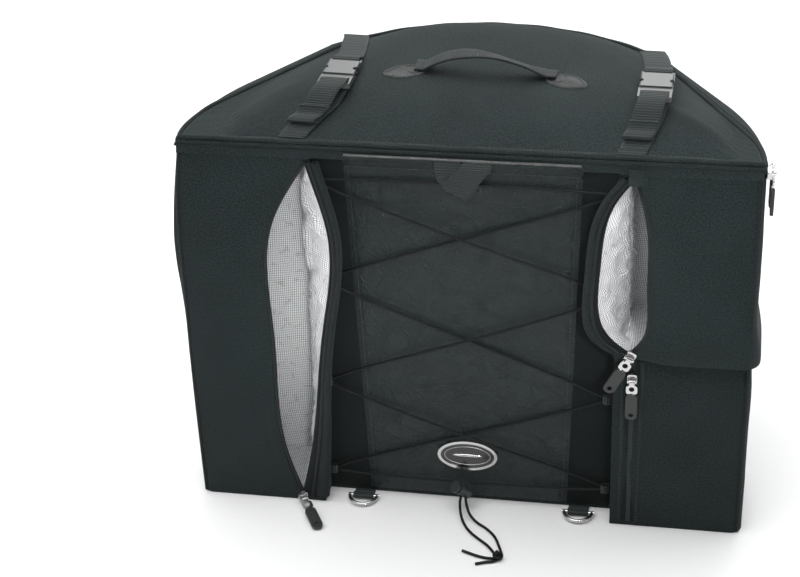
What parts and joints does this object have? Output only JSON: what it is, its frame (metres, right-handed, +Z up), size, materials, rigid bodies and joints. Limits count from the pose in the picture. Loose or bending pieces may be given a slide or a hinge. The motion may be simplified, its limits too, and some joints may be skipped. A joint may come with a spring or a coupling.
{
  "type": "tail bag",
  "caption": "Soft motorcycle tail bag with a hinged zip lid, carry handle, buckled straps, insulated front pockets and a bungee-laced panel.",
  "frame": {"origin": "on the underside of the base, on the centre line", "axes": "+X to the right across the laced front, +Y to the back, +Z up"},
  "size_m": [0.546, 0.4006, 0.4431],
  "materials": {
    "twill": "woven, dyed black, matt",
    "board": "matt",
    "lining": "matt",
    "leatherette": "fine wrinkled grain, satin",
    "foil": "woven metallised foil, bright",
    "zip_teeth": "satin",
    "webbing": "ribbed webbing",
    "buckle_plastic": "satin moulded",
    "plated_metal": "bright nickel",
    "pull_rubber": "matt moulded",
    "bungee_cord": "braided",
    "spring_steel": "bright",
    "badge_enamel": "gloss"
  },
  "bodies": {
    "bag": {"badge_inlay": "badge_enamel", "badge_rim": "plated_metal", "base_board": "board", "base_panel": "twill", "bungee_cord": "bungee_cord", "bungee_loops": "webbing", "bungee_panel": "leatherette", "bungee_tail_1": "bungee_cord", "bungee_tail_2": "bungee_cord", "cord_lock_barrel": "buckle_plastic", "cord_lock_spring": "spring_steel", "d_ring_tabs": "webbing", "front_wall": "twill", "grab_tab": "webbing", "left_pocket_gusset": "twill", "left_pocket_liner": "foil", "left_pocket_shell": "twill", "left_pocket_zip": "zip_teeth", "left_slider": "plated_metal", "lower_right_pocket_shell": "twill", "lower_right_pocket_zip": "zip_teeth", "main_slider_1": "plated_metal", "main_zip_lower": "zip_teeth", "rim_piping": "twill", "side_and_back_wall": "twill", "tail_ends": "bungee_cord", "tail_knot": "bungee_cord", "upper_right_pocket_gusset": "twill", "upper_right_pocket_liner": "foil", "upper_right_pocket_shell": "twill", "upper_right_pocket_zip": "zip_teeth", "upper_right_slider": "plated_metal"},
    "lid": {"lid_shell": "twill", "lid_lining": "lining", "lid_piping": "twill", "main_zip_upper": "zip_teeth", "handle_patches": "leatherette", "strap_front_left": "webbing", "strap_front_right": "webbing", "strap_rear_left": "webbing", "strap_rear_right": "webbing", "buckle_female_left": "buckle_plastic", "buckle_female_right": "buckle_plastic", "buckle_male_left": "buckle_plastic", "buckle_male_right": "buckle_plastic"},
    "handle": {"handle_webbing": "webbing"},
    "buckle_arm_left_inner": {"buckle_arm_left_inner": "buckle_plastic"},
    "buckle_arm_left_outer": {"buckle_arm_left_outer": "buckle_plastic"},
    "buckle_arm_right_inner": {"buckle_arm_right_inner": "buckle_plastic"},
    "buckle_arm_right_outer": {"buckle_arm_right_outer": "buckle_plastic"},
    "lower_right_slider": {"lower_right_slider": "plated_metal"},
    "lower_right_pull": {"lower_right_pull": "pull_rubber"},
    "upper_right_pull": {"upper_right_pull": "pull_rubber"},
    "left_pull": {"left_pull": "pull_rubber"},
    "main_pull_1": {"main_pull_1": "pull_rubber"},
    "main_slider_2": {"main_slider_2": "plated_metal"},
    "main_pull_2": {"main_pull_2": "pull_rubber"},
    "cord_lock_plunger": {"cord_lock_plunger": "buckle_plastic"},
    "d_ring_left": {"d_ring_left": "plated_metal"},
    "d_ring_right": {"d_ring_right": "plated_metal"}
  },
  "joints": [
    {"name": "lid_hinge", "type": "hinge", "parent": "bag", "child": "lid", "pos_m": [0, -0.115, 0.381], "axis": [1, 0, 0], "range_deg": [0, 100]},
    {"name": "handle_swing", "type": "hinge", "parent": "lid", "child": "handle", "pos_m": [0.006, -0.019, 0.4178], "axis": [0.9985, -0.0545, 0], "range_deg": [-15, 15], "stiffness_Nm_per_rad": 0.06},
    {"name": "buckle_arm_left_inner_squeeze", "type": "hinge", "parent": "lid", "child": "buckle_arm_left_inner", "pos_m": [-0.13548, -0.04129, 0.4185], "axis": [0, 0, -1], "range_deg": [0, 6], "stiffness_Nm_per_rad": 0.4},
    {"name": "buckle_arm_left_outer_squeeze", "type": "hinge", "parent": "lid", "child": "buckle_arm_left_outer", "pos_m": [-0.1159, -0.04228, 0.4185], "axis": [0, 0, 1], "range_deg": [0, 6], "stiffness_Nm_per_rad": 0.4},
    {"name": "buckle_arm_right_inner_squeeze", "type": "hinge", "parent": "lid", "child": "buckle_arm_right_inner", "pos_m": [0.15603, -0.04152, 0.4185], "axis": [0, 0, -1], "range_deg": [0, 6], "stiffness_Nm_per_rad": 0.4},
    {"name": "buckle_arm_right_outer_squeeze", "type": "hinge", "parent": "lid", "child": "buckle_arm_right_outer", "pos_m": [0.17562, -0.04191, 0.4185], "axis": [0, 0, 1], "range_deg": [0, 6], "stiffness_Nm_per_rad": 0.4},
    {"name": "lower_right_zip", "type": "slide", "parent": "bag", "child": "lower_right_slider", "axis": [0, 0, -1], "range_m": [0, 0.085]},
    {"name": "lower_right_pull_swing", "type": "hinge", "parent": "lower_right_slider", "child": "lower_right_pull", "pos_m": [0.159, -0.1573, 0.177], "axis": [-1, 0, 0], "range_deg": [0, 150]},
    {"name": "upper_right_pull_swing", "type": "hinge", "parent": "bag", "child": "upper_right_pull", "pos_m": [0.1565, -0.1629, 0.206], "axis": [-0.8829, 0, 0.4695], "range_deg": [0, 150]},
    {"name": "left_pull_swing", "type": "hinge", "parent": "bag", "child": "left_pull", "pos_m": [-0.16041, -0.15914, 0.0076], "axis": [-0.8571, -0.5151, 0], "range_deg": [0, 75]},
    {"name": "main_pull_1_swing", "type": "hinge", "parent": "bag", "child": "main_pull_1", "pos_m": [0.27417, -0.10433, 0.374], "axis": [0.0332, -0.9995, 0], "range_deg": [0, 140]},
    {"name": "main_zip_run", "type": "hinge", "parent": "bag", "child": "main_slider_2", "pos_m": [0.043, -0.112, 0.374], "axis": [0, 0, 1], "range_deg": [0, 28]},
    {"name": "main_pull_2_swing", "type": "hinge", "parent": "main_slider_2", "child": "main_pull_2", "pos_m": [0.27324, -0.08983, 0.374], "axis": [0.0958, -0.9954, 0], "range_deg": [0, 140]},
    {"name": "cord_lock_press", "type": "slide", "parent": "bag", "child": "cord_lock_plunger", "axis": [0.6004, 0.4203, -0.6804], "range_m": [0, 0.0015], "stiffness_N_per_m": 600},
    {"name": "d_ring_left_swing", "type": "hinge", "parent": "bag", "child": "d_ring_left", "pos_m": [-0.104, -0.141, 0.0035], "axis": [-1, 0, 0], "range_deg": [0, 85]},
    {"name": "d_ring_right_swing", "type": "hinge", "parent": "bag", "child": "d_ring_right", "pos_m": [0.11, -0.141, 0.0035], "axis": [-1, 0, 0], "range_deg": [0, 85]}
  ]
}
